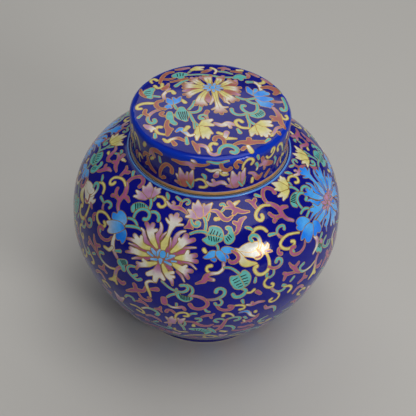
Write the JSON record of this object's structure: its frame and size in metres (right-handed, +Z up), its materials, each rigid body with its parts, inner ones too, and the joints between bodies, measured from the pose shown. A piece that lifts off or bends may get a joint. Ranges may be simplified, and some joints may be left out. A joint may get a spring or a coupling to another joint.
{
  "type": "enamel lidded jar",
  "caption": "Globular porcelain jar with a cap lid over a short neck, cobalt glaze and gilt-outlined enamel flower scrolls.",
  "frame": {"origin": "centre of the foot ring's underside, on the surface that the jar stands on", "axes": "+Z up along the jar's turning axis, front of the jar faces -Y, +X to the right seen from the front"},
  "size_m": [0.17, 0.17, 0.1603],
  "materials": {
    "jar_glaze": "glossy cobalt glaze with gilt-outlined overglaze enamels",
    "lid_glaze": "glossy cobalt glaze with gilt-outlined overglaze enamels and a gilt rim"
  },
  "bodies": {
    "root": {"jar": "jar_glaze", "lid": "lid_glaze"}
  },
  "joints": []
}
